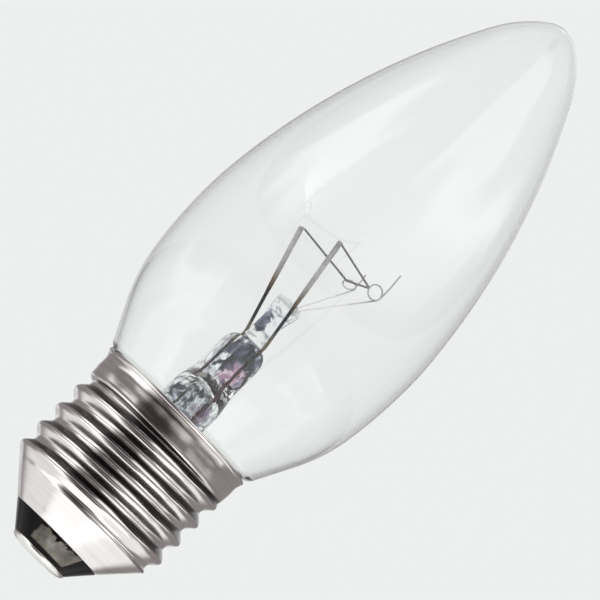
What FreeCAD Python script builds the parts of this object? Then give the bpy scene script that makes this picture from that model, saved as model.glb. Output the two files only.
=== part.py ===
"""A clear candle-shaped filament lamp with an E27 screw cap, in millimetres.

The lamp stands on its centre contact: the origin is the middle of the contact's flat outer
face and +Z runs up the axis to the tip of the glass. Seen from -Y, +X is to the right.
Heights of the cap are stacked up from the contact. Heights of the glass, the stem and the
filament are measured from the rim of the cap, so they follow when the cap changes.
"""

import FreeCAD, Part
import math
import os

Vector = FreeCAD.Vector
AXIS = Vector(0, 0, 1)
ORIGIN = Vector(0, 0, 0)

# Centre contact: a pressed plate with a tubular shank
contact_d = 9.7
contact_flat_d = 6.6
contact_height = 0.95
contact_edge = 0.2
shank_d = 2.4
shank_bore = 1.6
shank_height = 3.2
solder_depth = 1.6

# Black glass insulator between the contact and the shell
insulator_lip = 0.05
insulator_height = 3.35
insulator_fill = 3.3

# Screw shell: thin sheet with a lower cone, the rolled round thread and a plain skirt
sheet = 0.3
cone_foot_d = 15.6
cone_angle = 42.5
thread_major_d = 26.3
thread_depth = 1.15
thread_pitch = 3.629
thread_height = 14.8
thread_chords = 5
crest_angle = 80.0
shoulder_height = 0.7
skirt_step = 0.2
skirt_height = 2.5
rim_flare = 0.4
rim_height = 1.3

# Glass bulb
glass_wall = 0.6
neck_gap = 0.8
neck_height = 7.6
collar_gap = 0.45
collar_drop = 1.2
collar_top_drop = 0.1
bulb_root_rise = 0.8
belly_d = 40.44
belly_rise = 25.8

# The bulb's outline runs on from its widest ring in arcs. Each angle is how far the glass
# leans off the axis where its arc ends, and the nose's arc is worked out to meet the tip.
waist_arc = 75.7
waist_angle = 8.0
root_arc = 27.4
root_angle = 27.0
shoulder_arc = 53.8
shoulder_angle = 5.3
flank_arc = 107.7
flank_angle = 27.9
nose_angle = 51.9
tip_arc = 4.5

# Cement between the neck and the shell
cement_below_rim = 0.9
cement_below_neck = 0.5

# Stem: a glass tube with a trumpet foot, pinched flat round the wires at its head
seal_drop = 13.4
seal_edge = 0.7
tube_d = 8.3
tube_wall = 0.9
trumpet_height = 6.2
pinch_start = 5.0
pinch_full = 8.4
press_top = 15.0
press_thickness = 3.0
press_turn = -38.9
press_corner = 2.6
bore_end = 5.6

# Exhaust tube, sealed off inside the cap
exhaust_d = 3.2
exhaust_bore = 2.0
exhaust_below_seal = 1.6
exhaust_tip = 1.6

# Glass rod with its button on the press
rod_d = 3.4
rod_height = 8.1
button_d = 4.0
button_height = 2.4
button_round = 0.9

# Wires
wire_spread = 2.3
seal_wire_d = 0.5
seal_wire_drop = 1.2
lead_in_press = 1.6
lead_rise = 0.7
lead_root_d = 0.5
lead_tip_d = 0.75
lead_thin_share = 0.4
fuse_d = 0.2
fuse_length = 6.0
outer_lead_d = 0.3
lead_bend_above_seal = 2.0
support_d = 0.24
support_root = 0.7
filament_d = 0.36
clamp_below_tip = 0.35
wire_below_rim = 0.15

# Ends of the wires, from the middle of the press's top face: right, away from the viewer, up
front_lead_tip = Vector(-1.3, -7.0, 18.3)
rear_lead_tip = Vector(-6.6, -2.6, 16.6)
front_ring_centre = Vector(7.3, 4.7, 17.9)
rear_ring_centre = Vector(4.0, 7.1, 16.3)
front_ring_d = 2.3
rear_ring_d = 2.0
front_ring_facing = Vector(0.13, -0.99, 0)
rear_ring_facing = Vector(-0.92, -0.39, 0)
front_ring_tail = 4.4
rear_ring_tail = 2.3
loop_overlap = 0.3
front_hook_shift = Vector(-0.3, -0.04, 0)

# Solder at the rim
rim_solder_d = 1.3

# Sizes that follow from the others
insulator_foot_d = contact_d + 2 * insulator_lip
thread_minor_d = thread_major_d - 2 * thread_depth
skirt_d = thread_major_d - 2 * skirt_step
rim_d = skirt_d + 2 * rim_flare
neck_d = thread_minor_d - 2 * (sheet + neck_gap)
collar_d = skirt_d - 2 * (sheet + collar_gap)

# Heights from the contact
insulator_top = contact_height + insulator_height
cone_slope = math.tan(math.radians(cone_angle))
thread_root = thread_minor_d / 2
thread_crest = thread_major_d / 2
thread_start = insulator_top + (thread_root - cone_foot_d / 2) / cone_slope
thread_end = thread_start + thread_height
skirt_start = thread_end + shoulder_height
rim_start = skirt_start + skirt_height
rim = rim_start + rim_height
press_top_z = rim + press_top
seal_z = rim - seal_drop


def turned(points):
    """A solid turned about the axis from the corners (radius, height) of its section."""
    corners = [Vector(r, 0, z) for r, z in points]
    face = Part.Face(Part.makePolygon(corners + corners[:1]))
    return face.revolve(ORIGIN, AXIS, 360)


def line_path(points):
    """Straight edges through the points (radius, height) of a section."""
    corners = [Vector(r, 0, z) for r, z in points]
    return [Part.makeLine(start, end) for start, end in zip(corners, corners[1:])]


def joined(shape):
    """The one solid of a fused shape, with the seams between its like faces removed."""
    return shape.removeSplitter().Solids[0]


def wire_run(points, radii):
    """Straight round runs through the points, one radius for each run, with round joints."""
    solid = None
    for start, end, radius in zip(points, points[1:], radii):
        run = Part.makeCylinder(radius, (end - start).Length, start, end - start)
        solid = run if solid is None else solid.fuse(run)
    for corner, radius in zip(points[1:-1], radii[1:]):
        solid = solid.fuse(Part.makeSphere(radius, corner))
    return joined(solid)


def cone_offset(distance):
    """Shift of a point on the shell's cone, square to the cone and towards the inside."""
    angle = math.radians(cone_angle)
    return -distance * math.cos(angle), distance * math.sin(angle)


def make_centre_contact():
    edge_z = contact_height - contact_edge
    round_middle = (contact_flat_d / 2 + (contact_d - contact_flat_d) / 2 * 0.76, edge_z * 0.4)
    corners = [
        (shank_bore / 2, 0), (contact_flat_d / 2, 0), round_middle, (contact_d / 2, edge_z),
        (contact_d / 2, contact_height), (shank_d / 2, contact_height),
        (shank_d / 2, shank_height), (shank_bore / 2, shank_height),
    ]
    return turned(corners)


def make_contact_solder(contact_lead):
    return Part.makeCylinder(shank_bore / 2, solder_depth).cut(contact_lead)


def make_cap_insulator():
    shift_r, shift_z = cone_offset(sheet)
    fill_top = insulator_top + insulator_fill
    seat_r, seat_z = cone_foot_d / 2 + shift_r, insulator_top + shift_z
    fill_r = seat_r + (fill_top - seat_z) * cone_slope
    corners = [
        (shank_d / 2, contact_height), (insulator_foot_d / 2, contact_height),
        (cone_foot_d / 2, insulator_top), (seat_r, seat_z), (fill_r, fill_top),
        (shank_d / 2, fill_top),
    ]
    return turned(corners)


def thread_ridge():
    """The round thread's crest as a helix, its section cut into a few straight chords."""
    depth = thread_crest - thread_root
    arc = ((thread_pitch / 2) ** 2 + depth**2) / (4 * depth)
    reach = math.acos((2 * arc - depth) / (2 * arc))
    step = 2 * reach / thread_chords
    angles = [step * (k + 0.5) for k in range(thread_chords // 2)]
    crest = [(thread_crest - arc + arc * math.cos(a), arc * math.sin(a)) for a in angles]
    root = [
        (thread_root + arc - arc * math.cos(a), thread_pitch / 2 - arc * math.sin(a))
        for a in reversed(angles[1:])
    ]
    foot_z = thread_pitch / 2 - thread_pitch / 60
    slope = math.tan((angles[0] + angles[1]) / 2)
    root.append((root[-1][0] - (foot_z - root[-1][1]) * slope, foot_z))
    half = crest + root
    sunk = (thread_root - sheet / 2, foot_z)
    section = [(r, -z) for r, z in [sunk] + half[::-1]] + half + [sunk]
    corners = [Vector(r, 0, z) for r, z in section]
    turns = math.ceil(thread_height / thread_pitch) + 2
    helix = Part.makeHelix(thread_pitch, thread_pitch * turns, thread_root)
    profile = Part.makePolygon(corners + corners[:1])
    ridge = Part.Wire(helix.Edges).makePipeShell([profile], True, True)
    crest_rise = thread_pitch * crest_angle / 360
    ridge.translate(Vector(0, 0, thread_end - (turns - 1) * thread_pitch - crest_rise))
    return ridge


def make_screw_shell():
    shift_r, shift_z = cone_offset(sheet)
    bore = thread_root - sheet
    foot = cone_foot_d / 2
    bore_start = insulator_top + shift_z + (bore - foot - shift_r) / cone_slope
    corners = [
        (foot, insulator_top), (thread_root, thread_start), (thread_root, thread_end),
        (skirt_d / 2, skirt_start), (skirt_d / 2, rim_start), (rim_d / 2, rim),
        (rim_d / 2 - sheet, rim), (skirt_d / 2 - sheet, rim_start),
        (skirt_d / 2 - sheet, skirt_start), (bore, thread_end), (bore, bore_start),
        (foot + shift_r, insulator_top + shift_z),
    ]
    blank = turned(corners)
    past = thread_crest + sheet
    room = [
        (bore + sheet / 4, thread_start), (thread_root, thread_start),
        (past, thread_start + (past - thread_root) / cone_slope),
        (past, skirt_start - (past - skirt_d / 2)), (skirt_d / 2, skirt_start),
        (skirt_d / 2 - sheet / 2, skirt_start), (bore + sheet / 4, thread_end),
    ]
    return joined(blank.fuse(thread_ridge().common(turned(room))))


def arc_chain(arcs, direction, inset):
    """Arcs that run on smoothly from the belly, up (1) or down (-1), moved in by inset."""
    radial, height, lean = belly_d / 2, rim + belly_rise, 0.0
    edges = []
    for radius, end_lean in arcs:
        centre_r = radial - radius * math.cos(lean)
        centre_z = height - direction * radius * math.sin(lean)
        end = math.radians(end_lean)
        spots = []
        for turn in (lean, (lean + end) / 2, end):
            out = radius - inset
            spots.append(
                Vector(centre_r + out * math.cos(turn), 0, centre_z + direction * out * math.sin(turn))
            )
        edges.append(Part.Arc(*spots).toShape())
        radial = centre_r + radius * math.cos(end)
        height = centre_z + direction * radius * math.sin(end)
        lean = end
    return edges, radial, height, lean


def upper_arcs():
    """Radius and end angle of each arc above the belly, the last one running into the tip."""
    shoulder, flank, nose = (
        math.cos(math.radians(angle)) for angle in (shoulder_angle, flank_angle, nose_angle)
    )
    flank_r = belly_d / 2 - shoulder_arc * (1 - shoulder) - flank_arc * (shoulder - flank)
    nose_arc = (flank_r - tip_arc * nose) / (flank - nose)
    return [(shoulder_arc, shoulder_angle), (flank_arc, flank_angle), (nose_arc, nose_angle)]


def neck_radius(height):
    """Outer radius of the neck where it widens from the stem's seal to the collar."""
    start, end = seal_z + neck_height, rim - collar_drop
    return neck_d / 2 + (height - start) / (end - start) * (collar_d - neck_d) / 2


def bulb_line(inset):
    """The bulb's outline from the seal to the tip, moved inwards by inset."""
    upper, radial, height, lean = arc_chain(upper_arcs(), 1, inset)
    centre = Vector(0, 0, height - tip_arc * math.sin(lean))
    out = tip_arc - inset
    half = (lean + math.pi / 2) / 2
    nose = [
        centre + Vector(out * math.cos(turn), 0, out * math.sin(turn))
        for turn in (lean, half, math.pi / 2)
    ]
    nose[2].x = 0
    lower_arcs = [(waist_arc, waist_angle), (root_arc, root_angle)]
    lower, radial, height, lean = arc_chain(lower_arcs, -1, inset)
    radial -= inset * math.cos(lean)
    height += inset * math.sin(lean)
    root_z = rim + bulb_root_rise
    neck = line_path([
        (neck_d / 2 - inset, seal_z), (neck_d / 2 - inset, seal_z + neck_height),
        (collar_d / 2 - inset, rim - collar_drop),
        (collar_d / 2 - inset, rim - collar_top_drop),
        (radial - (height - root_z) * math.tan(lean), root_z), (radial, height),
    ])
    return neck + lower + upper + [Part.Arc(*nose).toShape()], nose[2]


def make_glass_envelope():
    outer, outer_tip = bulb_line(0)
    inner, inner_tip = bulb_line(glass_wall)
    ends = line_path([(neck_d / 2, seal_z), (neck_d / 2 - glass_wall, seal_z)])
    ends.append(Part.makeLine(outer_tip, inner_tip))
    section = Part.Face(Part.Wire(Part.__sortEdges__(outer + inner + ends)))
    return section.revolve(ORIGIN, AXIS, 360)


def make_stem_flare(embedded):
    tube_r, bore_r = tube_d / 2, tube_d / 2 - tube_wall
    seal_r = neck_d / 2 - glass_wall
    trumpet_top = seal_z + trumpet_height
    glass = turned([
        (seal_r, seal_z), (seal_r, seal_z + seal_edge), (tube_r, trumpet_top),
        (tube_r, press_top_z), (0, press_top_z), (0, rim + bore_end),
        (bore_r, rim + bore_end), (bore_r, trumpet_top),
        (seal_r - seal_edge, seal_z),
    ])
    pinch_z, full_z = rim + pinch_start, rim + pinch_full
    side = [
        (tube_r, pinch_z), (press_thickness / 2, full_z),
        (press_thickness / 2, press_top_z + 1), (tube_r + 1, press_top_z + 1),
        (tube_r + 1, pinch_z),
    ]
    for mirror in (1, -1):
        corners = [Vector(-tube_d, mirror * y, z) for y, z in side]
        jaw = Part.Face(Part.makePolygon(corners + corners[:1]))
        glass = glass.cut(jaw.extrude(Vector(2 * tube_d, 0, 0)))
    front = Part.makeBox(tube_d, tube_d, press_top_z - seal_z, Vector(-tube_r, -tube_r, seal_z))
    tops = [e for e in front.Edges if e.BoundBox.ZMin > press_top_z - 1 and e.BoundBox.XLength < 1]
    rounded = front.makeFillet(press_corner, tops)
    skirt = Part.makeCylinder(neck_d, rim + pinch_start - seal_z, Vector(0, 0, seal_z))
    glass = glass.common(rounded.fuse(skirt))
    glass.rotate(ORIGIN, AXIS, press_turn)
    for piece in embedded:
        glass = glass.cut(piece)
    return glass


def make_exhaust_tube():
    top, bottom = rim + bore_end, seal_z - exhaust_below_seal
    outer, inner = exhaust_d / 2, exhaust_bore / 2
    return turned([
        (inner, top), (outer, top), (outer, bottom + exhaust_tip), (0, bottom),
        (0, bottom + exhaust_tip), (inner, bottom + 2 * exhaust_tip),
    ])


def make_arbor_rod(embedded):
    top = press_top_z + rod_height
    glass = turned([
        (0, press_top_z), (rod_d / 2, press_top_z), (rod_d / 2, top - button_height),
        (button_d / 2, top - button_height + button_round),
        (button_d / 2, top - button_round), (button_d / 2 - button_round, top), (0, top),
    ])
    for piece in embedded:
        glass = glass.cut(piece)
    return glass


def press_point(side, height):
    """A point in the plane of the press, on its right (1) or left (-1) wire."""
    angle = math.radians(press_turn)
    spread = side * wire_spread
    return Vector(spread * math.cos(angle), spread * math.sin(angle), height)


def make_inner_lead(side, tip):
    entry = press_point(side, press_top_z - lead_in_press)
    bend = press_point(side, press_top_z + lead_rise)
    end = tip + AXIS * press_top_z
    waist = bend + (end - bend) * lead_thin_share
    radii = [lead_root_d / 2, lead_root_d / 2, lead_tip_d / 2]
    return wire_run([entry, bend, waist, end], radii)


def make_seal_wire(side):
    top = press_point(side, press_top_z - lead_in_press)
    bottom = press_point(side, rim - seal_wire_drop)
    return wire_run([top, bottom], [seal_wire_d / 2])


def make_fuse_link():
    top = press_point(1, rim - seal_wire_drop)
    bottom = press_point(1, rim - seal_wire_drop - fuse_length)
    return wire_run([top, bottom], [fuse_d / 2])


def make_contact_lead():
    top = press_point(1, rim - seal_wire_drop - fuse_length)
    below_seal = press_point(1, seal_z)
    centre = Vector(0, 0, insulator_top + insulator_fill)
    end = Vector(0, 0, solder_depth / 3)
    return wire_run([top, below_seal, centre, end], [outer_lead_d / 2] * 3)


def make_shell_lead():
    top = press_point(-1, rim - seal_wire_drop)
    below = press_point(-1, seal_z - lead_bend_above_seal)
    bore = thread_root - sheet
    low_gap = (neck_d / 2 + bore) / 2
    mid_gap = (neck_radius(thread_end) + bore) / 2
    high_gap = (collar_d / 2 + skirt_d / 2 - sheet) / 2
    points = [
        top, below, Vector(-low_gap, 0, seal_z - lead_bend_above_seal),
        Vector(-low_gap, 0, seal_z + neck_height), Vector(-mid_gap, 0, thread_end),
        Vector(-high_gap, 0, rim - collar_drop), Vector(-high_gap, 0, rim - wire_below_rim),
    ]
    return wire_run(points, [outer_lead_d / 2] * 6)


def make_support_wire(ring_centre, ring_d, facing, tail_length):
    """A straight leg from the button that curls once into a closed loop and ends in a tail."""
    centre = ring_centre + AXIS * press_top_z
    lean = Vector(centre.x, centre.y, 0).normalize()
    root = lean * support_root + AXIS * (press_top_z + rod_height - button_height / 2)
    along = (centre - root).normalize()
    axis = facing.cross(along).cross(along).negative().normalize()
    leg_length = math.sqrt((centre - root).Length ** 2 - (ring_d / 2) ** 2)
    swing = math.degrees(math.asin(ring_d / 2 / (centre - root).Length))
    along = FreeCAD.Rotation(axis, -swing).multVec(along)
    start = root + along * leg_length
    spin = FreeCAD.Rotation(axis, math.degrees(along.getAngle(AXIS)))
    aside = axis * support_d * loop_overlap
    end = centre + spin.multVec(start - centre) + aside
    ring = Part.makeTorus(ring_d / 2, support_d / 2)
    ring.Placement = FreeCAD.Placement(
        centre, FreeCAD.Rotation(centre - start, -along, axis, "ZXY")
    )
    leg = Part.makeCylinder(support_d / 2, leg_length, root - aside, along)
    tail = Part.makeCylinder(support_d / 2, tail_length, end, AXIS)
    return joined(ring.fuse([leg, tail]))


def make_filament(leads):
    lift = AXIS * press_top_z
    nudge = AXIS * clamp_below_tip
    rear_hook = rear_ring_centre + lift
    front_hook = front_ring_centre + front_hook_shift + lift
    points = [
        rear_lead_tip + lift - nudge, rear_hook, front_hook, front_lead_tip + lift - nudge,
    ]
    filament = wire_run(points, [filament_d / 2] * 3)
    for lead in leads:
        filament = filament.cut(lead)
    return filament


def make_capping_cement(embedded):
    neck_top, collar = seal_z + neck_height, rim - collar_drop
    top, bottom = rim - cement_below_rim, neck_top - cement_below_neck
    bore, skirt_bore = thread_root - sheet, skirt_d / 2 - sheet
    flare = rim_flare / rim_height
    ring = turned([
        (bore, bottom), (bore, thread_end), (skirt_bore, skirt_start), (skirt_bore, rim_start),
        (skirt_bore + (top - rim_start) * flare, top), (collar_d / 2, top),
        (collar_d / 2, collar), (neck_d / 2, neck_top), (neck_d / 2, bottom),
    ])
    for piece in embedded:
        ring = ring.cut(piece)
    return ring


def make_rim_solder(neighbours):
    seat = Vector(-(rim_d / 2 - sheet), 0, rim)
    blob = Part.makeSphere(rim_solder_d / 2, seat)
    for piece in neighbours:
        blob = blob.cut(piece)
    return max(blob.Solids, key=lambda solid: solid.Volume)


seal_wire_front = make_seal_wire(1)
seal_wire_rear = make_seal_wire(-1)
inner_lead_front = make_inner_lead(1, front_lead_tip)
inner_lead_rear = make_inner_lead(-1, rear_lead_tip)
support_front = make_support_wire(
    front_ring_centre, front_ring_d, front_ring_facing, front_ring_tail
)
support_rear = make_support_wire(
    rear_ring_centre, rear_ring_d, rear_ring_facing, rear_ring_tail
)
contact_lead = make_contact_lead()
shell_lead = make_shell_lead()
glass_envelope = make_glass_envelope()
screw_shell = make_screw_shell()
press_wires = [seal_wire_front, seal_wire_rear, inner_lead_front, inner_lead_rear]

parts = {
    "glass_envelope": glass_envelope,
    "stem_flare": make_stem_flare(press_wires),
    "exhaust_tube": make_exhaust_tube(),
    "arbor_rod": make_arbor_rod([support_front, support_rear]),
    "inner_lead_front": inner_lead_front,
    "inner_lead_rear": inner_lead_rear,
    "seal_wire_front": seal_wire_front,
    "seal_wire_rear": seal_wire_rear,
    "fuse_link": make_fuse_link(),
    "contact_lead": contact_lead,
    "shell_lead": shell_lead,
    "support_wire_front": support_front,
    "support_wire_rear": support_rear,
    "filament": make_filament([inner_lead_front, inner_lead_rear]),
    "screw_shell": screw_shell,
    "cap_insulator": make_cap_insulator(),
    "centre_contact": make_centre_contact(),
    "contact_solder": make_contact_solder(contact_lead),
    "capping_cement": make_capping_cement([shell_lead]),
    "rim_solder": make_rim_solder([screw_shell, glass_envelope, shell_lead]),
}

os.makedirs("parts", exist_ok=True)
for name, shape in parts.items():
    shape.exportStep(f"parts/{name}.step")
    print(f"{name}: {len(shape.Solids)} solid, {shape.Volume:.2f} mm3, valid {shape.isValid()}")
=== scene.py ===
"""The candle-shaped filament lamp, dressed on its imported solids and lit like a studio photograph.

The lamp stands on its centre contact with +Z up its axis. The camera sees it from -Y, a little
from below and rolled, so that the lamp leans to the upper right of the picture. Shapes are
written in millimetres, and new_piece brings them to metres.
"""

import math

import bmesh
import bpy
from mathutils import Matrix, Quaternion, Vector


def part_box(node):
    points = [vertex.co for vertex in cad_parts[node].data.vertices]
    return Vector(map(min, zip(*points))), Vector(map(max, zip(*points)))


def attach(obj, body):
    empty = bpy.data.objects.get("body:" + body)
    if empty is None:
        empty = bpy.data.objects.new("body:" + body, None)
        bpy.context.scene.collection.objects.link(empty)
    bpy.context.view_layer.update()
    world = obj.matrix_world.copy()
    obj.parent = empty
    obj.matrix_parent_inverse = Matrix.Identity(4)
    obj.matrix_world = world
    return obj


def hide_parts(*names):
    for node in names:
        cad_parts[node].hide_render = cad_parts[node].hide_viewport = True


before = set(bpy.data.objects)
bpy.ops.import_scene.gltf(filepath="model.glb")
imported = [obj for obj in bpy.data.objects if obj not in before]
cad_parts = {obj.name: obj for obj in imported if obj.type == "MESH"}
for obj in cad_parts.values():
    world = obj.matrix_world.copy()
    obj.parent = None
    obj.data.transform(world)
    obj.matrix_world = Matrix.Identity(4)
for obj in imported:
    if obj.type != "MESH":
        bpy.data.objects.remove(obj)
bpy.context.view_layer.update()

mm = 0.001
UP = Vector((0, 0, 1))
merge_distance = 1e-4

# Heights of the cap and the stem, as the solids have them
cone_foot_z = 4.3
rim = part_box("screw_shell")[1][2] / mm
seal_z = rim - 13.4
press_top = rim + 15.0

# The rolled thread: round_share is the part of half a pitch that rounds each crest and groove
pitch = 3.629
thread_depth = 1.25
round_share = 0.34
crest_r = 13.15
crest_at_right = 22.85
thread_low, thread_high = 8.0, 24.4
runout_low, runout_high = 23.1, 24.1

# The skirt above the thread and the cone below it
skirt_r = 12.95
cone_foot_r = 7.8
cone_slope = math.tan(math.radians(42.5))
cone_blend = 0.35

# The thread's upper flank carries painted shade, a dark line in each groove: the stretch above each
# crest, in parts of a pitch, how softly it fades, and the heights between which it is found
painted_shade_flank = (0.17, 0.32)
painted_shade_fade = 0.11
painted_shade_low, painted_shade_high = 9.6, 23.4
painted_shade_ends_fade = 0.9

# The blown bulb
glass_wall = 0.6
belly_z = rim + 25.8
belly_r = 20.22
neck_r = 10.9
neck_top = seal_z + 7.6
collar_r = 12.2
collar_low, collar_high = rim - 1.2, rim - 0.1
flank_foot = rim + 0.8
# Its arcs from the widest ring to the tip and to the cap: radius, and lean in degrees at the end.
# closing_arc works out the radius that is None, and a facet is about arc_step long.
upper_arcs = [(53.8, 5.3), (107.7, 27.9), (None, 51.9), (4.5, 90.0)]
lower_arcs = [(75.7, 8.0), (27.4, 27.0)]
arc_step = 0.9

# The stem: its tube is squeezed flat into the press, which stands turned about the axis
tube_r = 4.15
bore_r = 3.25
press_turn = math.radians(-38.9)
press_half = 1.5
pinch_start, pinch_full = rim + 3.6, rim + 8.2
squareness = 0.72
tube_rings = 21
ring_step = 0.75

# Wires in the press, and the leads' radius at shares of their run
wire_spread = 2.3
lead_r = 0.25
lead_in_press = 1.6
lead_rise = 0.7
lead_swelling = [(0.06, lead_r), (0.34, lead_r), (0.44, 0.33), (0.58, 0.39), (0.99, 0.4)]
seal_wire_low = rim - 1.2
front_tip = Vector((-1.3, -7.0, press_top + 18.3))
rear_tip = Vector((-6.7, -2.6, press_top + 16.4))

# The coil of the filament
coil_r = 0.125
coil_wire_r = 0.045
coil_pitch = 0.13
bare_end = 0.8
points_per_turn = 10

# The supports and their loops
support_r = 0.115
support_root_r = 0.9
support_root_z = press_top + 6.9
loop_bends = 26
loop_step = 0.26
loop_swell = 0.03
tail_sway = Vector((-0.28, 0.05, 0))
front_ring = Vector((7.3, 4.7, press_top + 17.9))
rear_ring = Vector((4.0, 7.1, press_top + 16.3))
front_hook = front_ring + Vector((-1.0, -0.14, -0.1))
rear_hook = rear_ring + Vector((-0.75, 0.1, 0.25))


# Shapes


def new_piece(name, bm, material, replaced, smooth_angle=40):
    """Turn a bmesh in millimetres into a finished piece that stands for the solids named."""
    bmesh.ops.scale(bm, vec=(mm, mm, mm), verts=bm.verts)
    mesh = bpy.data.meshes.new(name)
    bm.to_mesh(mesh)
    bm.free()
    mesh.shade_smooth()
    if smooth_angle < 180:
        mesh.set_sharp_from_angle(angle=math.radians(smooth_angle))
    piece = bpy.data.objects.new(name, mesh)
    bpy.context.collection.objects.link(piece)
    mesh.materials.append(material)
    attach(piece, "root")
    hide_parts(*replaced)


def tidy(bm):
    """Close the seam and the poles of a spun shape and turn its faces outwards."""
    bmesh.ops.remove_doubles(bm, verts=bm.verts, dist=merge_distance)
    bmesh.ops.recalc_face_normals(bm, faces=bm.faces)


def chain(bm, points, closed=False):
    """Edges through the points (radius, height) of a section."""
    verts = [bm.verts.new((r, 0, z)) for r, z in points]
    pairs = list(zip(verts, verts[1:]))
    if closed:
        pairs.append((verts[-1], verts[0]))
    for pair in pairs:
        bm.edges.new(pair)
    return verts


def add_straight(bm, vert, points):
    """Carry a vertex on through straight runs and give back the corners it passed."""
    corners = []
    for r, z in points:
        following = bm.verts.new((r, 0, z))
        bm.edges.new((vert, following))
        corners.append(following)
        vert = following
    return corners


def spin_all(bm, steps):
    """Spin everything drawn so far about the lamp's axis."""
    geometry = bm.verts[:] + bm.edges[:]
    bmesh.ops.spin(
        bm, geom=geometry, cent=(0, 0, 0), axis=UP, angle=math.tau, steps=steps, use_merge=True
    )
    tidy(bm)


def round_corners(bm, corners, size, segments=4):
    """Round the corners of a section before it is spun."""
    bmesh.ops.bevel(
        bm, geom=corners, offset=size, segments=segments, profile=0.5, affect="VERTICES",
        material=-1,
    )


def swept_arc(bm, vert, centre, angle, steps):
    """Carry a vertex round a centre in the XZ plane, leaving an arc of edges behind it."""
    ret = bmesh.ops.spin(
        bm, geom=[vert], cent=(centre[0], 0, centre[1]), axis=(0, 1, 0), angle=angle, steps=steps
    )
    return [item for item in ret["geom_last"] if isinstance(item, bmesh.types.BMVert)][0]


def smoothstep(low, high, value):
    """Zero at low, one at high, and a soft S between them."""
    share = min(1.0, max(0.0, (value - low) / (high - low)))
    return share * share * (3 - 2 * share)


def soft_min(first, second, softness):
    """The smaller of two values, blended where they are nearly the same."""
    share = min(1.0, max(0.0, 0.5 + 0.5 * (second - first) / softness))
    return second + (first - second) * share - softness * share * (1 - share)


def wire_piece(name, points, radii, material, replaced, kind="NURBS", sides=4):
    """A round wire that follows the points, in millimetres, with filled ends."""
    curve = bpy.data.curves.new(name, "CURVE")
    curve.dimensions = "3D"
    # A bevel of one millimetre, so that each point's radius is in millimetres
    curve.bevel_depth = mm
    curve.bevel_resolution = sides
    curve.use_fill_caps = True
    spline = curve.splines.new(kind)
    spline.points.add(len(points) - 1)
    for spot, place, radius in zip(spline.points, points, radii):
        spot.co = (*(Vector(place) * mm), 1)
        spot.radius = radius
    if kind == "NURBS":
        spline.order_u = 3
        spline.use_endpoint_u = True
        spline.resolution_u = 8
    holder = bpy.data.objects.new(name, curve)
    bpy.context.collection.objects.link(holder)
    graph = bpy.context.evaluated_depsgraph_get()
    mesh = bpy.data.meshes.new_from_object(holder.evaluated_get(graph))
    bpy.data.objects.remove(holder)
    bm = bmesh.new()
    bm.from_mesh(mesh)
    bmesh.ops.scale(bm, vec=(1 / mm, 1 / mm, 1 / mm), verts=bm.verts)
    tidy(bm)
    new_piece(name, bm, material, replaced, smooth_angle=50)


# Nodes of materials and of the world


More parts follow.
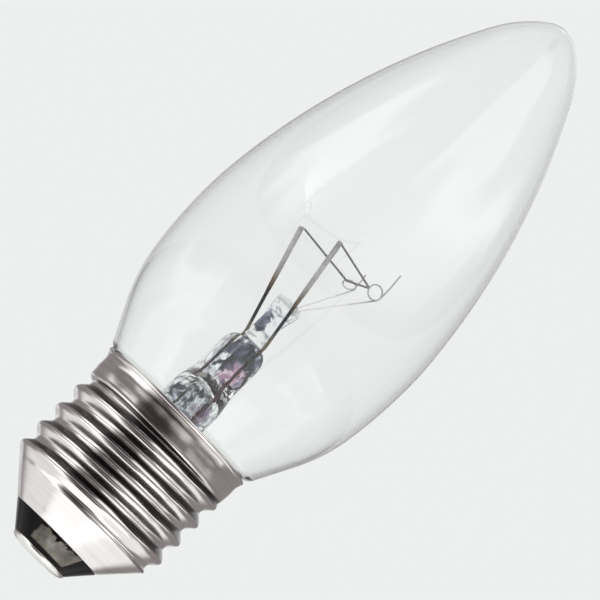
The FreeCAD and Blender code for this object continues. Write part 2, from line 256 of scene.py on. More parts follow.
class NodeTree:
    """The nodes of one material or of the world, with short calls that add and link them."""

    def __init__(self, owner):
        owner.use_nodes = True
        self.nodes = owner.node_tree.nodes
        self.links = owner.node_tree.links

    def add(self, kind, **values):
        """Add a node and set its properties, and its inputs by name."""
        node = self.nodes.new(kind)
        for key, value in values.items():
            if key in node.inputs:
                node.inputs[key].default_value = value
            else:
                setattr(node, key, value)
        return node

    def feed(self, socket, value):
        """Give an input a number or a colour, or link it to another node's output."""
        if isinstance(value, bpy.types.NodeSocket):
            self.links.new(value, socket)
        elif isinstance(value, tuple):
            socket.default_value = (*value, 1)
        else:
            socket.default_value = value

    def object_place(self, stretch=(1, 1, 1)):
        """The place on the object, stretched, as a vector."""
        coords = self.add("ShaderNodeTexCoord")
        mapping = self.add("ShaderNodeMapping")
        mapping.inputs["Scale"].default_value = stretch
        self.links.new(coords.outputs["Object"], mapping.inputs["Vector"])
        return mapping.outputs["Vector"]

    def parts_of(self, vector):
        """The X, Y and Z of a vector."""
        split = self.add("ShaderNodeSeparateXYZ")
        self.links.new(vector, split.inputs[0])
        return tuple(split.outputs)

    def parts_of_place(self):
        """The object's own X, Y and Z."""
        return self.parts_of(self.add("ShaderNodeTexCoord").outputs["Object"])

    def noise(self, place, scale, detail=3.0, roughness=0.55, distortion=0.0):
        """Cloudy noise round 0.5. A larger scale gives smaller clouds."""
        node = self.add("ShaderNodeTexNoise", Scale=scale, Detail=detail, Roughness=roughness,
                        Distortion=distortion)
        self.links.new(place, node.inputs["Vector"])
        return node.outputs["Fac"]

    def ramp(self, value, stops):
        """A colour ramp through the stops (place, colour)."""
        node = self.add("ShaderNodeValToRGB")
        elements = node.color_ramp.elements
        while len(elements) < len(stops):
            elements.new(0.5)
        for element, (place, colour) in zip(elements, stops):
            element.position = place
            element.color = (*colour, 1)
        self.links.new(value, node.inputs["Fac"])
        return node.outputs["Color"]

    def remap(self, value, low, high, new_low=0.0, new_high=1.0):
        """Carry a value from one range to another, held at the ends."""
        names = ("From Min", "From Max", "To Min", "To Max")
        node = self.add("ShaderNodeMapRange", **dict(zip(names, (low, high, new_low, new_high))))
        self.links.new(value, node.inputs["Value"])
        return node.outputs["Result"]

    def calc(self, operation, *values):
        """One step of arithmetic on sockets and numbers."""
        node = self.add("ShaderNodeMath", operation=operation)
        for socket, value in zip(node.inputs, values):
            self.feed(socket, value)
        return node.outputs["Value"]

    def mixed(self, share, first, second):
        """A mix of two colours, each a socket or a plain colour."""
        node = self.add("ShaderNodeMix", data_type="RGBA")
        # The node keeps its colours at inputs 6 and 7 and at output 2
        for number, value in ((0, share), (6, first), (7, second)):
            self.feed(node.inputs[number], value)
        return node.outputs[2]

    def window(self, value, low, high, fade):
        """One between low and high, running softly to zero over the given width outside them."""
        shares = []
        for edge, beyond in ((low, low - fade), (high, high + fade)):
            node = self.add("ShaderNodeMapRange", interpolation_type="SMOOTHSTEP")
            node.inputs["From Min"].default_value = beyond
            node.inputs["From Max"].default_value = edge
            self.links.new(value, node.inputs["Value"])
            shares.append(node.outputs["Result"])
        return self.calc("MULTIPLY", *shares)

    def mixed_shaders(self, share, first, second):
        """A mix of two shaders."""
        node = self.add("ShaderNodeMixShader")
        for socket, value in zip(node.inputs, (share, first, second)):
            self.links.new(value, socket)
        return node.outputs[0]


class Finish(NodeTree):
    """A material made of nodes, and its Principled shader."""

    def __init__(self, name):
        self.material = bpy.data.materials.new(name)
        super().__init__(self.material)
        self.shader = self.nodes["Principled BSDF"]

    def surface(self, values):
        """Feed the shader's inputs, by name."""
        for name, value in values.items():
            self.feed(self.shader.inputs[name], value)

    def bumped(self, height, strength, distance):
        """Raise the surface by a height. The distance is in metres."""
        node = self.add("ShaderNodeBump", Strength=strength, Distance=distance)
        self.links.new(height, node.inputs["Height"])
        self.links.new(node.outputs["Normal"], self.shader.inputs["Normal"])

    def glass(self, tint, roughness, shadow):
        """Tinted glass that casts no hard dark shadow: rays from the lamps go straight through."""
        self.surface({
            "Base Color": tint, "Transmission Weight": 1.0, "IOR": 1.5, "Roughness": roughness,
        })
        clear = self.add("ShaderNodeBsdfTransparent")
        self.feed(clear.inputs["Color"], shadow)
        path = self.add("ShaderNodeLightPath")
        both = self.mixed_shaders(path.outputs["Is Shadow Ray"], self.shader.outputs[0],
                                  clear.outputs[0])
        self.links.new(both, self.nodes["Material Output"].inputs["Surface"])


# Finishes


def make_bulb_glass():
    """Clear blown glass: faint waves, a breath of green, and a painted grey shade at its edge where
    it is seen flat.
    """
    finish = Finish("bulb glass")
    edge = finish.add("ShaderNodeLayerWeight", Blend=0.5)
    # Painted shade: the tint turns grey towards the edge, where the glass is seen flat
    tint = finish.ramp(edge.outputs["Facing"], [
        (0.0, (1.0, 1.0, 1.0)), (0.35, (0.985, 0.992, 0.988)), (0.66, (0.94, 0.955, 0.947)),
        (0.88, (0.78, 0.8, 0.79)), (1.0, (0.36, 0.38, 0.38)),
    ])
    waves = finish.noise(finish.object_place((1, 1, 0.55)), 26, detail=0)
    finish.glass(tint, 0.0, (0.97, 0.975, 0.97))
    finish.bumped(waves, 0.12, 0.0008)
    return finish.material


# Patches of painted reflection in the stem's glass: middle (x, z) in mm, half size, how much it
# climbs to the right, shade
stem_painted_reflections = [
    ((1.3, press_top - 3.2), (2.3, 2.6), 0.0, "dark"),
    ((1.6, press_top - 5.4), (1.0, 1.7), 0.3, "rosy"),
    ((-1.9, rim + 3.6), (2.2, 0.7), 0.6, "dark"),
    ((-1.3, press_top + 3.2), (0.8, 1.2), 0.0, "dark"),
    ((1.9, rim + 2.2), (0.5, 1.6), 0.0, "rosy"),
]
patch_fade = 0.15
patch_raggedness = 1.1


def make_stem_glass():
    """Thick worked glass: seams and folds as grey lines, and dark and rosy patches of painted
    reflection.
    """
    finish = Finish("stem glass")
    x, _, z = finish.parts_of_place()
    place = finish.object_place((1, 1, 0.6))
    swirl = finish.noise(place, 330, detail=3, roughness=0.6, distortion=1.6)
    folds = finish.noise(place, 210, detail=2, roughness=0.5, distortion=1.3)
    fold = finish.calc("ABSOLUTE", finish.calc("SUBTRACT", folds, 0.5))
    clear = finish.ramp(fold, [
        (0.0, (0.2, 0.22, 0.26)), (0.014, (0.5, 0.54, 0.58)), (0.034, (0.96, 0.98, 0.98)),
        (0.15, (1.0, 1.0, 1.0)), (0.21, (0.66, 0.7, 0.76)),
    ])
    reflection_cloud = finish.noise(place, 620, detail=4, roughness=0.65, distortion=0.6)
    dark = finish.ramp(reflection_cloud, [
        (0.38, (0.001, 0.002, 0.005)), (0.5, (0.01, 0.013, 0.026)), (0.58, (0.06, 0.07, 0.12)),
        (0.66, (0.4, 0.45, 0.55)),
    ])
    rosy = finish.ramp(swirl, [
        (0.42, (0.12, 0.1, 0.16)), (0.52, (0.62, 0.34, 0.47)), (0.62, (0.95, 0.78, 0.86)),
    ])
    ragged = finish.remap(swirl, 0.3, 0.7, -patch_raggedness * mm, patch_raggedness * mm)
    tint = clear
    # Painted reflections: dark and rosy patches laid into the glass's tint by place in the stem
    for middle, half, climb, shade in stem_painted_reflections:
        across = finish.calc("SUBTRACT", x, middle[0] * mm)
        height = finish.calc("SUBTRACT", z, middle[1] * mm)
        height = finish.calc("ADD", height, finish.calc("MULTIPLY", across, -climb))
        share = 1.0
        for value, size in ((across, half[0]), (height, half[1])):
            value = finish.calc("ADD", finish.calc("ABSOLUTE", value), ragged)
            edge = finish.remap(value, (size + patch_fade) * mm, (size - patch_fade) * mm)
            share = finish.calc("MULTIPLY", edge, share)
        tint = finish.mixed(share, tint, {"dark": dark, "rosy": rosy}[shade])
    finish.glass(tint, 0.02, (0.93, 0.94, 0.95))
    finish.bumped(folds, 0.6, 0.0009)
    return finish.material


def make_tube_glass():
    """The thin exhaust tube inside the stem."""
    finish = Finish("tube glass")
    waves = finish.noise(finish.object_place((1, 1, 0.3)), 300, detail=2)
    tint = finish.ramp(waves, [(0.3, (0.88, 0.92, 0.93)), (0.7, (0.99, 1.0, 0.99))])
    finish.glass(tint, 0.0, (0.95, 0.96, 0.96))
    finish.bumped(waves, 0.15, 0.0003)
    return finish.material


def thread_phase(finish, x, y, z, wander):
    """How far a place is above the thread's crest, in parts of a pitch from 0 to 1."""
    turns = finish.calc("DIVIDE", finish.calc("ARCTAN2", y, x), math.tau)
    climb = finish.calc("DIVIDE", finish.calc("SUBTRACT", z, crest_at_right * mm), pitch * mm)
    phase = finish.calc("ADD", wander, finish.calc("SUBTRACT", climb, turns))
    return finish.calc("FRACT", phase)


def make_nickel():
    """Nickel plate, drawn round and round, with painted shade on the upper flanks of its thread."""
    finish = Finish("nickel plate")
    x, y, z = finish.parts_of_place()
    cloud = finish.noise(finish.object_place((0.35, 0.35, 1)), 240)
    drawn = finish.noise(finish.object_place((0.04, 0.04, 1)), 1500, detail=4)
    dents = finish.noise(finish.object_place(), 130, detail=1.5)
    wander = finish.remap(cloud, 0.3, 0.7, -0.05, 0.05)
    phase = thread_phase(finish, x, y, z, wander)
    # Painted shade: the upper flank of every turn is darkened all round, so that each groove shows a
    # dark line
    threaded = finish.window(z, painted_shade_low * mm, painted_shade_high * mm, painted_shade_ends_fade * mm)
    darkening = finish.calc("MULTIPLY", finish.window(phase, *painted_shade_flank, painted_shade_fade), threaded)
    darkening = finish.calc("MULTIPLY", darkening, finish.remap(drawn, 0.35, 0.62, 1.0, 0.88))
    colour = finish.mixed(finish.remap(drawn, 0.42, 0.75, 0.0, 0.4),
                          (0.88, 0.855, 0.845), (0.6, 0.55, 0.54))
    height = finish.calc("ADD", finish.calc("MULTIPLY", drawn, 0.05),
                         finish.calc("ADD", dents, finish.calc("MULTIPLY", cloud, 0.3)))
    finish.surface({
        "Base Color": finish.mixed(darkening, colour, (0.03, 0.022, 0.024)),
        "Metallic": 1.0,
        "Roughness": finish.remap(cloud, 0.3, 0.75, 0.13, 0.25),
    })
    finish.bumped(height, 1.0, 0.00022)
    return finish.material


def make_wire_nickel():
    """Nickel lead wire, burnt dark where it leaves the press and pale grey towards its tip."""
    finish = Finish("lead wire")
    _, _, z = finish.parts_of_place()
    grain = finish.noise(finish.object_place((1, 1, 0.25)), 900, detail=4)
    height = finish.calc("ADD", z, finish.remap(grain, 0.3, 0.7, -0.8 * mm, 0.8 * mm))
    share = finish.remap(height, (press_top + 2) * mm, (press_top + 17) * mm)
    finish.surface({
        "Base Color": finish.ramp(share, [
            (0.0, (0.16, 0.14, 0.1)), (0.08, (0.03, 0.035, 0.04)), (0.3, (0.035, 0.037, 0.042)),
            (0.4, (0.16, 0.11, 0.08)), (0.5, (0.34, 0.33, 0.32)), (0.75, (0.52, 0.52, 0.51)),
            (1.0, (0.36, 0.36, 0.36)),
        ]),
        "Metallic": 0.75,
        "Roughness": finish.remap(grain, 0.3, 0.7, 0.32, 0.55),
    })
    finish.bumped(grain, 0.4, 0.00005)
    return finish.material


def make_support_metal():
    """Thin support wire, bright near the button and duller where the filament's heat reaches."""
    finish = Finish("support wire")
    _, _, z = finish.parts_of_place()
    grain = finish.noise(finish.object_place(), 700)
    height = finish.calc("ADD", z, finish.remap(grain, 0.3, 0.7, -mm, mm))
    share = finish.remap(height, (press_top + 13) * mm, (press_top + 17.5) * mm)
    finish.surface({
        "Base Color": finish.ramp(share, [(0.0, (0.86, 0.86, 0.85)), (1.0, (0.42, 0.42, 0.42))]),
        "Metallic": 0.6,
        "Roughness": finish.remap(grain, 0.3, 0.7, 0.35, 0.6),
    })
    finish.bumped(grain, 0.3, 0.00004)
    return finish.material


def make_fine_metal(name, colour, roughness, metallic=1.0, scale=1500, bump=0.3, darkening=0.6):
    """Small metal parts: one colour with a fine uneven grain."""
    finish = Finish(name)
    grain = finish.noise(finish.object_place(), scale, detail=4)
    dark = tuple(part * darkening for part in colour)
    finish.surface({
        "Base Color": finish.mixed(finish.remap(grain, 0.35, 0.7, 0, 0.7), colour, dark),
        "Metallic": metallic,
        "Roughness": finish.remap(grain, 0.3, 0.7, roughness * 0.7, roughness * 1.3),
    })
    finish.bumped(grain, bump, 0.00005)
    return finish.material


# The ragged grey patch of painted reflection on the front of the insulator: its edges in mm
reflection_left, reflection_right = -2.5, 2.75
reflection_foot, reflection_top = 1.65, 3.85
reflection_lean = 0.5
reflection_raggedness = 0.9


def make_black_glass():
    """Glossy black glass, cast uneven, with a ragged grey painted reflection on its side towards -Y.
    """
    finish = Finish("black glass")
    x, y, z = finish.parts_of_place()
    lumps = finish.noise(finish.object_place(), 420, detail=5, roughness=0.6, distortion=0.5)
    ragged = finish.remap(lumps, 0.3, 0.7, -reflection_raggedness * mm, reflection_raggedness * mm)
    torn_x = finish.calc("ADD", x, finish.calc("MULTIPLY", ragged, 0.3))
    leaning_x = finish.calc("SUBTRACT", x, finish.calc("MULTIPLY", z, reflection_lean))
    torn_z = finish.calc("ADD", z, ragged)
    # Painted reflection: a ragged grey patch laid into the base colour on the -Y side
    painted_reflection = finish.remap(y, -0.5 * mm, -1.0 * mm)
    for value, outside, inside in (
        (torn_x, (reflection_left - 0.2) * mm, reflection_left * mm),
        (leaning_x, (reflection_right + 0.2) * mm, reflection_right * mm),
        (torn_z, (reflection_top + 0.15) * mm, reflection_top * mm),
        (z, (reflection_foot - 0.15) * mm, reflection_foot * mm),
        (lumps, 0.34, 0.37),
    ):
        painted_reflection = finish.calc("MULTIPLY", painted_reflection, finish.remap(value, outside, inside))
    streaks = finish.noise(finish.object_place((1, 1, 0.4)), 520, detail=4)
    shade = finish.ramp(streaks, [
        (0.3, (0.06, 0.053, 0.046)), (0.48, (0.14, 0.127, 0.11)), (0.6, (0.2, 0.183, 0.162)),
        (0.72, (0.3, 0.28, 0.255)),
    ])
    finish.surface({
        "Base Color": finish.mixed(painted_reflection, (0.005, 0.0045, 0.0045), shade),
        "Roughness": finish.remap(lumps, 0.3, 0.7, 0.08, 0.25),
        "Specular IOR Level": 0.07,
    })
    finish.bumped(lumps, 0.35, 0.00015)
    return finish.material


def make_cement():
    """Sandy resin cement between the glass and the shell."""
    finish = Finish("cement")
    grain = finish.noise(finish.object_place(), 1800, detail=5, roughness=0.7)
    finish.surface({
        "Base Color": finish.ramp(grain, [(0.3, (0.4, 0.37, 0.32)), (0.7, (0.66, 0.62, 0.56))]),
        "Roughness": 0.9,
    })
    finish.bumped(grain, 0.6, 0.0001)
    return finish.material


bulb_glass = make_bulb_glass()
stem_glass = make_stem_glass()
tube_glass = make_tube_glass()
nickel = make_nickel()
lead_nickel = make_wire_nickel()
support_metal = make_support_metal()
tungsten = make_fine_metal("tungsten coil", (0.3, 0.3, 0.31), 0.45, metallic=0.7, scale=4000)
copper_clad = make_fine_metal("copper-clad wire", (0.085, 0.03, 0.032), 0.45, metallic=0.5)
contact_tin = make_fine_metal("contact plate", (0.93, 0.92, 0.9), 0.25, scale=500, bump=0.04,
                              darkening=0.85)
solder = make_fine_metal("solder", (0.8, 0.8, 0.79), 0.25, scale=1200, bump=0.5)
black_glass = make_black_glass()
cement = make_cement()


def refinish(node, material):
    """Give a finish to a solid that keeps its shape."""
    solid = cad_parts[node]
    solid.data.materials.clear()
    solid.data.materials.append(material)


# Glass bulb


def closing_arc():
    """The nose arc's radius that carries the outline on into the tip's round."""
    shoulder, flank, nose = (math.cos(math.radians(lean)) for _, lean in upper_arcs[:3])
    flank_r = belly_r - upper_arcs[0][0] * (1 - shoulder) - upper_arcs[1][0] * (shoulder - flank)
    return (flank_r - upper_arcs[3][0] * nose) / (flank - nose)


def bulb_half(bm, inset, arcs, direction):
    """One wall of the bulb from its widest ring towards the tip (1) or the cap (-1)."""
    vert = bm.verts.new((belly_r - inset, 0, belly_z))
    centre_r, centre_z, lean, previous = belly_r, belly_z, 0.0, 0.0
    for radius, end in arcs:
        end = math.radians(end)
        centre_r -= (radius - previous) * math.cos(lean)
        centre_z -= direction * (radius - previous) * math.sin(lean)
        steps = max(6, round(radius * (end - lean) / arc_step))
        vert = swept_arc(bm, vert, (centre_r, centre_z), -direction * (end - lean), steps)
        lean, previous = end, radius
    return vert, lean


def make_bulb():
    """The blown bulb with its collar and neck, hollow, with one wall of even thickness."""
    bm = bmesh.new()
    arcs = [(closing_arc() if radius is None else radius, lean) for radius, lean in upper_arcs]
    ends = []
    for inset in (0, glass_wall):
        tip, _ = bulb_half(bm, inset, arcs, 1)
        tip.co.x = 0
        root, lean = bulb_half(bm, inset, lower_arcs, -1)
        drop = root.co.z - flank_foot
        corners = add_straight(bm, root, [
            (root.co.x - drop * math.tan(lean), flank_foot),
            (collar_r - inset, collar_high), (collar_r - inset, collar_low),
            (neck_r - inset, neck_top), (neck_r - inset, seal_z),
        ])
        ends.append(corners[-1])
        round_corners(bm, corners[:2], 0.45)
        round_corners(bm, corners[2:4], 0.8)
    bm.edges.new(ends)
    bmesh.ops.remove_doubles(bm, verts=bm.verts, dist=merge_distance)
    spin_all(bm, 160)
    new_piece("blown_bulb", bm, bulb_glass, ["glass_envelope"], smooth_angle=60)


make_bulb()


# Stem


def in_press(side, away=0.0):
    """A place in the press's plane, to its right (1) or left (-1), and away from the viewer."""
    across = Vector((math.cos(press_turn), math.sin(press_turn), 0))
    return across * side + Vector((-across.y, across.x, 0)) * away


def squeeze(vert, across, away):
    """Press a vertex of the round tube towards the flat, nearly square section of the press."""
    share = smoothstep(pinch_start, pinch_full, vert.co.z)
    wide, thin = vert.co.dot(across), vert.co.dot(away)
    radius = math.hypot(wide, thin)
    if share == 0 or radius < merge_distance:
        return
    flat_wide = math.copysign(abs(wide / radius) ** squareness, wide) * radius
    flat_thin = math.copysign(abs(thin / radius) ** squareness, thin) * radius
    flat_thin *= press_half / tube_r
    new = across * (wide + (flat_wide - wide) * share)
    new += away * (thin + (flat_thin - thin) * share)
    vert.co = (new.x, new.y, vert.co.z)


def make_stem():
    """The trumpet foot with its flare, and the tube, squeezed into the press at its head."""
    bm = bmesh.new()
    foot_r = neck_r - glass_wall
    verts = chain(bm, [
        (0, rim + 5.6), (1.6, rim + 5.5), (2.6, rim + 4.9), (3.1, rim + 3.9),
        (bore_r, rim + 2.5), (bore_r, rim), (bore_r, seal_z + 7.6), (3.5, seal_z + 5.8),
        (4.4, seal_z + 3.9), (5.9, seal_z + 2.1), (7.9, seal_z + 0.7), (foot_r - 0.7, seal_z),
        (foot_r, seal_z), (foot_r, seal_z + 0.7), (8.8, seal_z + 1.3), (6.7, seal_z + 2.8),
        (5.2, seal_z + 4.6), (4.4, seal_z + 6.4), (tube_r, seal_z + 8.2),
    ])
    heights = [rim - 3 + k * ring_step for k in range(tube_rings)]
    corners = add_straight(bm, verts[-1], [(tube_r, z) for z in heights])
    add_straight(bm, corners[-1], [
        (4.05, press_top - 2.1), (3.85, press_top - 1.5), (3.5, press_top - 0.9),
        (3.0, press_top - 0.45), (2.3, press_top - 0.14), (1.4, press_top - 0.03),
        (0, press_top),
    ])
    spin_all(bm, 96)
    across, away = in_press(1), in_press(0, 1)
    for vert in bm.verts:
        squeeze(vert, across, away)
    new_piece("pinched_stem", bm, stem_glass, ["stem_flare"], smooth_angle=180)


def make_button_rod():
    """The glass rod on the press, a little uneven, with the button at its head."""
    bm = bmesh.new()
    outline = [
        (0, 0.01), (1.5, 0.01), (1.78, 0.12), (1.76, 0.5), (1.7, 1.2), (1.68, 2.6), (1.72, 4.0),
        (1.82, 5.1), (2.0, 5.8), (2.16, 6.4), (2.18, 6.9), (2.04, 7.5), (1.62, 7.9),
        (0.95, 8.05), (0, 8.1),
    ]
    chain(bm, [(r, press_top + rise) for r, rise in outline])
    spin_all(bm, 64)
    bmesh.ops.subdivide_edges(bm, edges=bm.edges[:], cuts=1, smooth=0.6)
    new_piece("button_rod", bm, stem_glass, ["arbor_rod"], smooth_angle=180)


def make_exhaust():
    """The exhaust tube, drawn out and sealed at its lower end."""
    bm = bmesh.new()
    top, bottom = rim + 5.2, seal_z - 1.6
    chain(bm, [
        (1.0, top), (1.6, top), (1.6, bottom + 1.8), (1.35, bottom + 0.9), (0.7, bottom + 0.25),
        (0, bottom), (0, bottom + 1.7), (0.5, bottom + 2.1), (0.9, bottom + 2.9),
        (1.0, bottom + 3.6), (1.0, top),
    ])
    bmesh.ops.remove_doubles(bm, verts=bm.verts, dist=merge_distance)
    spin_all(bm, 48)
    new_piece("pumped_tube", bm, tube_glass, ["exhaust_tube"])


make_stem()
make_button_rod()
make_exhaust()


# Wires


def make_lead(name, side, tip, replaced):
    """A round lead that rises from the press and grows thicker half way to its tip."""
    entry = in_press(side * wire_spread) + UP * (press_top - lead_in_press)
    bend = in_press(side * wire_spread) + UP * (press_top + lead_rise)
    run = tip - bend
    points = [entry, bend - UP * 0.3, bend]
    radii = [lead_r, lead_r, lead_r]
    for share, radius in lead_swelling:
        points.append(bend + run * share)
        radii.append(radius)
    wire_piece(name, points, radii, lead_nickel, replaced, sides=5)


def make_sealed_wire(name, side, replaced):
    """The straight reddish wire that runs through the press."""
    top = in_press(side * wire_spread) + UP * (press_top - lead_in_press)
    low = in_press(side * wire_spread) + UP * seal_wire_low
    wire_piece(name, [top, (top + low) / 2, low], [lead_r] * 3, copper_clad,
               replaced)


def make_filament(points):
    """A wire wound into a close coil along straight runs, with a bare length at either end."""
    places = []
    turn = 0.0
    for number, (start, end) in enumerate(zip(points, points[1:])):
        along = (end - start).normalized()
        side = along.orthogonal().normalized()
        other = along.cross(side)
        length = (end - start).length
        first = bare_end if number == 0 else 0.0
        last = length - (bare_end if number == len(points) - 2 else 0.0)
        if first:
            places.append(start)
        count = max(2, round((last - first) / coil_pitch * points_per_turn))
        for k in range(count):
            spot = start + along * (first + (last - first) * k / count)
            spot = spot + side * (coil_r * math.cos(turn)) + other * (coil_r * math.sin(turn))
            places.append(spot)
            turn += math.tau / points_per_turn
        if last < length:
            places.append(end)
    radii = [coil_wire_r] * len(places)
    radii[0] = radii[-1] = coil_wire_r * 0.5
    wire_piece("coiled_filament", places, radii, tungsten, ["filament"],
               kind="POLY", sides=0)


def make_support(name, ring, ring_r, facing, tail, replaced):
    """A thin wire from the button that curls once round its loop and runs out into a tail."""
    lean = Vector((ring.x, ring.y, 0)).normalized()
    root = lean * support_root_r + UP * support_root_z
    reach = ring - root
    along = reach.normalized()
    axis = -facing.cross(along).cross(along).normalized()
    along = Quaternion(axis, -math.asin(ring_r / reach.length)) @ along
    length = math.sqrt(reach.length**2 - ring_r**2)
    spoke = root + along * length - ring
    turn = math.tau + along.angle(UP)
    points = [root + along * length * share for share in (0, 0.3, 0.62, 0.94)]
    for k in range(loop_bends + 1):
        share = k / loop_bends
        swell = 1 + loop_swell * math.sin(5 * share)
        turned = Quaternion(axis, turn * share) @ spoke
        points.append(ring + turned * swell + axis * loop_step * share)
    end = ring + Quaternion(axis, turn) @ spoke + axis * loop_step
    for share in (0.3, 0.65, 1.0):
        points.append(end + UP * tail * share + tail_sway * share**2)
    wire_piece(name, points, [support_r] * len(points), support_metal, replaced)


make_lead("front_lead", 1, front_tip, ["inner_lead_front"])
make_lead("rear_lead", -1, rear_tip, ["inner_lead_rear"])
make_sealed_wire("sealed_wire_front", 1, ["seal_wire_front"])
make_sealed_wire("sealed_wire_rear", -1, ["seal_wire_rear"])
make_filament([rear_tip - UP * 0.05, rear_hook, front_hook, front_tip - UP * 0.3])
make_support("front_support", front_ring, 1.15, Vector((0.13, -0.99, 0)), 4.3,
             ["support_wire_front"])
make_support("rear_support", rear_ring, 1.0, Vector((-0.4, -0.92, 0)), 2.2,
             ["support_wire_rear"])
refinish("fuse_link", support_metal)
refinish("contact_lead", copper_clad)
refinish("shell_lead", copper_clad)


# Screw cap


def thread_radius(angle, z):
    """Radius of the rolled thread: straight flanks with rounded crests and grooves."""
    turns = (z - crest_at_right) / pitch - angle / math.tau
    away = abs(turns - round(turns)) * 2
    slope = 1 / (1 - round_share)
    if away < round_share:
        drop = slope * away**2 / (2 * round_share)
    elif away > 1 - round_share:
        drop = 1 - slope * (1 - away) ** 2 / (2 * round_share)
    else:
        drop = slope * (away - round_share / 2)
    return crest_r - thread_depth * drop


def cone_radius(z):
    """Radius of the shell's lower cone."""
    return cone_foot_r + (z - cone_foot_z) * cone_slope


def shell_radius(angle, z):
    """Radius of the shell's outside between its lower cone and its skirt."""
    radius = soft_min(thread_radius(angle, z), cone_radius(z), cone_blend)
    return radius + (skirt_r - radius) * smoothstep(runout_low, runout_high, z)


def make_shell():
    """The thin shell: cone, thread, convex skirt and flared, rolled rim, and its plain inside."""
    bm = bmesh.new()
    rows = 130
    foot = [(7.62, cone_foot_z - 0.02), (7.78, cone_foot_z + 0.02)]
    foot += [(cone_radius(z), z) for z in (4.5, 5.2, 6.2, 7.2)]
    row_step = (thread_high - thread_low) / rows
    threaded = [(skirt_r, thread_low + row_step * k) for k in range(rows + 1)]
    skirt = [
        (12.98, 24.6), (13.01, 24.9), (13.04, 25.2), (13.06, 25.5), (13.06, 25.8),
        (13.05, 26.1), (13.03, 26.4), (13.02, 26.65), (13.03, 26.85), (13.07, 27.05),
        (13.12, 27.25), (13.18, 27.45), (13.24, 27.6), (13.23, 27.66),
    ]
    rolled_rim = [
        (13.29, 27.72), (13.37, 27.82), (13.4, 27.95), (13.37, 28.08), (13.3, 28.16),
        (13.22, rim), (13.12, 28.15), (13.04, 28.02),
    ]
    inside = [
        (12.9, 27.6), (12.72, 26.9), (12.65, 26.0), (12.6, 24.4), (11.45, 23.6), (11.45, 9.0),
        (11.2, 8.6), (7.55, 4.55),
    ]
    chain(bm, foot + threaded + skirt + rolled_rim + inside, closed=True)
    spin_all(bm, 240)
    slack = 0.01
    for vert in bm.verts:
        radius = math.hypot(vert.co.x, vert.co.y)
        if radius > skirt_r - slack and thread_low - slack < vert.co.z < thread_high + slack:
            new = shell_radius(math.atan2(vert.co.y, vert.co.x), vert.co.z)
            vert.co.x *= new / radius
            vert.co.y *= new / radius
    bmesh.ops.recalc_face_normals(bm, faces=bm.faces)
    new_piece("nickel_shell", bm, nickel, ["screw_shell"], smooth_angle=50)


def make_insulator():
    """The black glass between the shell and the contact: a thick cone with a narrow hole."""
    bm = bmesh.new()
    verts = chain(bm, [
        (1.2, 0.95), (4.88, 0.95), (7.75, 4.25), (7.5, 4.5), (10.2, 7.4), (1.2, 7.4),
    ], closed=True)
    round_corners(bm, [verts[1]], 0.12)
    round_corners(bm, [verts[2]], 0.1)
    spin_all(bm, 128)
    new_piece("black_insulator", bm, black_glass, ["cap_insulator"])


def make_contact():
    """The domed contact plate with the shank that holds the lead."""
    bm = bmesh.new()
    chain(bm, [
        (0.8, 0.1), (1.9, 0.08), (2.3, 0.01), (3.2, 0.0), (4.1, 0.16), (4.6, 0.42),
        (4.82, 0.72), (4.85, 0.9), (4.8, 0.95), (1.2, 0.95), (1.2, 3.2), (0.8, 3.2),
    ], closed=True)
    spin_all(bm, 128)
    new_piece("contact_plate", bm, contact_tin, ["centre_contact"],
              smooth_angle=45)


def make_contact_drop():
    """The flush drop of solder that fills the hole of the contact plate."""
    bm = bmesh.new()
    chain(bm, [
        (0, 0.0), (0.7, 0.0), (1.2, 0.02), (1.55, 0.05), (1.7, 0.1), (1.6, 0.14), (0.8, 0.16),
        (0.79, 1.6), (0, 1.6),
    ])
    spin_all(bm, 64)
    new_piece("contact_drop", bm, solder, ["contact_solder"], smooth_angle=60)


def make_rim_drop():
    """The small blob of solder that ties the outer lead to the rim."""
    bm = bmesh.new()
    bmesh.ops.create_icosphere(bm, subdivisions=4, radius=0.5)
    bmesh.ops.scale(bm, vec=(0.75, 1.2, 0.8), verts=bm.verts)
    for vert in bm.verts:
        wave = math.sin(vert.co.y * 7 + 1) * math.cos(vert.co.z * 6) * 0.05
        vert.co *= 1 + wave
    bmesh.ops.translate(bm, vec=(-13.12, 0, rim + 0.15), verts=bm.verts)
    new_piece("rim_drop", bm, solder, ["rim_solder"], smooth_angle=180)


make_shell()
make_insulator()
make_contact()
make_contact_drop()
make_rim_drop()
refinish("capping_cement", cement)


# Studio

pale = (0.85, 0.865, 0.86)
room_shade = (0.42, 0.41, 0.41)
black_card = (0.03, 0.022, 0.024)
dark_card = (0.27, 0.245, 0.247)
white_card = (1.25, 1.25, 1.24)
bright_box = (1.9, 1.9, 1.89)

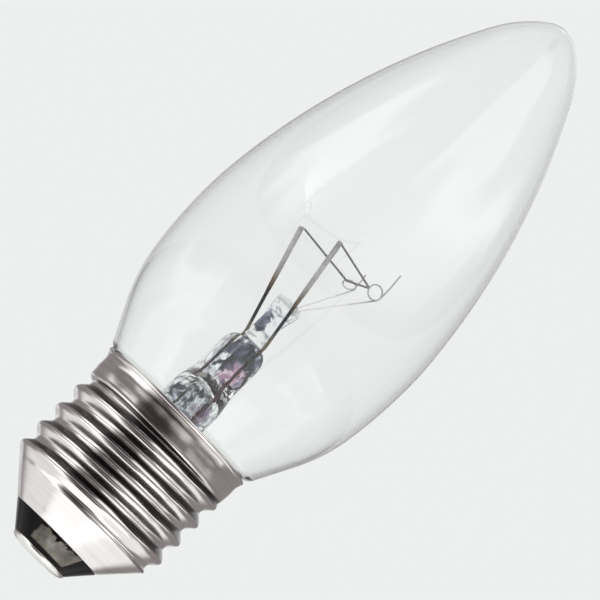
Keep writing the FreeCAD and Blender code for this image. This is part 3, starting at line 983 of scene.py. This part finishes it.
# Cards round the lamp: bearings from -Y, positive to +X, and heights above the horizon, then the
# width of the soft edge, all in degrees, and the shade
studio_cards = [
    (-180, 180, 36, 95, 14, (0.05, 0.042, 0.044)),
    (2, 48, 34, 70, 12, (1.35, 1.35, 1.34)),
    (-104, -58, -58, 30, 14, bright_box),
    (42, 94, -72, 30, 14, bright_box),
    (-30, 26, -50, 28, 14, (0.34, 0.315, 0.32)),
    (-126, 108, -10, 13, 9, (0.2, 0.174, 0.176)),
    (2, 92, 12, 20, 12, (0.72, 0.7, 0.69)),
    (-38, 2, -12, 6, 13, black_card),
    (-104, -56, -15, -7, 6, white_card),
    (42, 96, -15, -7, 6, (0.5, 0.48, 0.475)),
    (-100, -60, -36, -26, 10, white_card),
    (-34, -20, -36, -22, 10, (0.12, 0.1, 0.1)),
    (10, 92, -36, -26, 12, (0.66, 0.64, 0.63)),
    (-26, 22, -66, -48, 10, black_card),
    (108, 180, -20, 60, 12, dark_card),
    (-180, -108, -20, 60, 12, dark_card),
    (-200, -92, -80, -34, 12, (0.86, 0.85, 0.85)),
    (92, 200, -80, -34, 12, (1.0, 1.0, 0.99)),
    (172, 190, -40, 60, 8, pale),
    (-190, -172, -40, 60, 8, pale),
    (-180, 180, -95, -77, 8, white_card),
]
# The waves that bend the cards' outlines: frequency, and how far they reach in degrees
card_waves = ((1.7, 26), (4.0, 6))
soft_light_strength = 0.6

floor_z = -0.04
floor_reach = 6
lit_point = Vector((0, 0, 0.05))


def studio_map(tree):
    """The shade of the studio in every direction: one card laid over the other."""
    outward = tree.add("ShaderNodeTexCoord").outputs["Generated"]
    x, y, z = tree.parts_of(outward)
    bearing = tree.calc("DEGREES", tree.calc("ARCTAN2", x, tree.calc("MULTIPLY", y, -1)))
    rise = tree.calc("DEGREES", tree.calc("ARCSINE", z))
    for frequency, reach in card_waves:
        wave = tree.noise(outward, frequency, detail=1)
        bearing = tree.calc("ADD", bearing, tree.remap(wave, 0.3, 0.7, -reach / 2, reach / 2))
        rise = tree.calc("ADD", rise, tree.remap(wave, 0.7, 0.3, -reach / 4, reach / 4))
    colour = room_shade
    for west, east, low, high, fade, shade in studio_cards:
        share = tree.window(rise, low, high, fade)
        if east - west < 360:
            share = tree.calc("MULTIPLY", share, tree.window(bearing, west, east, fade))
        colour = tree.mixed(share, colour, shade)
    return colour


def make_world():
    """A pale backdrop, and for metal and gloss also the dark flags and bright boxes round it."""
    world = bpy.data.worlds.new("studio")
    bpy.context.scene.world = world
    tree = NodeTree(world)
    tree.nodes.clear()
    lights = []
    for colour, strength in (
        (studio_map(tree), 1.0), ((1, 1, 1), soft_light_strength), (pale, 1.0),
    ):
        light = tree.add("ShaderNodeBackground", Strength=strength)
        tree.feed(light.inputs["Color"], colour)
        lights.append(light.outputs[0])
    studio, soft_light, backdrop = lights
    path = tree.add("ShaderNodeLightPath")
    seen = tree.calc("MAXIMUM", path.outputs["Is Camera Ray"], path.outputs["Is Transmission Ray"])
    unseen = tree.mixed_shaders(path.outputs["Is Glossy Ray"], soft_light, studio)
    output = tree.add("ShaderNodeOutputWorld")
    tree.links.new(tree.mixed_shaders(seen, unseen, backdrop), output.inputs["Surface"])


def make_floor():
    """A wide floor below the lamp, in the backdrop's colour and lit by the lamps."""
    bm = bmesh.new()
    bmesh.ops.create_grid(bm, x_segments=1, y_segments=1, size=floor_reach)
    mesh = bpy.data.meshes.new("floor")
    bm.to_mesh(mesh)
    bm.free()
    floor = bpy.data.objects.new("floor", mesh)
    bpy.context.collection.objects.link(floor)
    floor.location.z = floor_z
    finish = Finish("floor paper")
    finish.surface({"Base Color": pale, "Roughness": 0.9})
    mesh.materials.append(finish.material)
    floor.visible_glossy = False


def make_lamp(name, place, size, watts):
    """A soft box aimed at the middle of the object, hidden from its gloss and its glass."""
    light = bpy.data.lights.new(name, "AREA")
    light.shape = "RECTANGLE"
    light.size, light.size_y = size
    light.energy = watts
    lamp = bpy.data.objects.new(name, light)
    bpy.context.collection.objects.link(lamp)
    lamp.location = place
    aim = lit_point - Vector(place)
    lamp.rotation_mode = "QUATERNION"
    lamp.rotation_quaternion = aim.to_track_quat("-Z", "Y")
    lamp.visible_glossy = False
    lamp.visible_transmission = False


# The photograph is picture_px wide and has pixels_per_metre at the lamp's axis. In it the middle of
# the lamp lies right_px to the right of the picture's middle and up_px above it.
camera_lean = math.radians(-6.2)
camera_distance = 0.7
camera_roll = math.radians(90 - 44.67)
sensor_width = 36
picture_px = 600
pixels_per_metre = 7.06 / mm
lamp_middle = Vector((0, 0, 0.0529))
right_px, up_px = 0.8, 5.75


def make_camera():
    """The camera, a little below the lamp's foot and rolled so that the lamp leans."""
    data = bpy.data.cameras.new("camera")
    data.sensor_width = sensor_width
    data.lens = sensor_width * camera_distance / (picture_px / pixels_per_metre)
    camera = bpy.data.objects.new("camera", data)
    bpy.context.collection.objects.link(camera)
    back = Vector((0, -math.cos(camera_lean), math.sin(camera_lean)))
    roll = Matrix.Rotation(camera_roll, 3, "Z").to_quaternion()
    turn = (-back).to_track_quat("-Z", "Y") @ roll
    across, up = turn @ Vector((1, 0, 0)), turn @ Vector((0, 1, 0))
    middle = lamp_middle - (across * right_px + up * up_px) / pixels_per_metre
    camera.location = middle + back * camera_distance
    camera.rotation_mode = "QUATERNION"
    camera.rotation_quaternion = turn
    bpy.context.scene.camera = camera


make_world()
make_floor()
make_lamp("key", (-0.5, -0.35, 0.6), (0.5, 0.5), 4.6)
make_lamp("fill", (0.6, -0.3, 0.25), (0.4, 0.6), 2.1)
make_camera()
bpy.context.scene.view_settings.view_transform = "Standard"
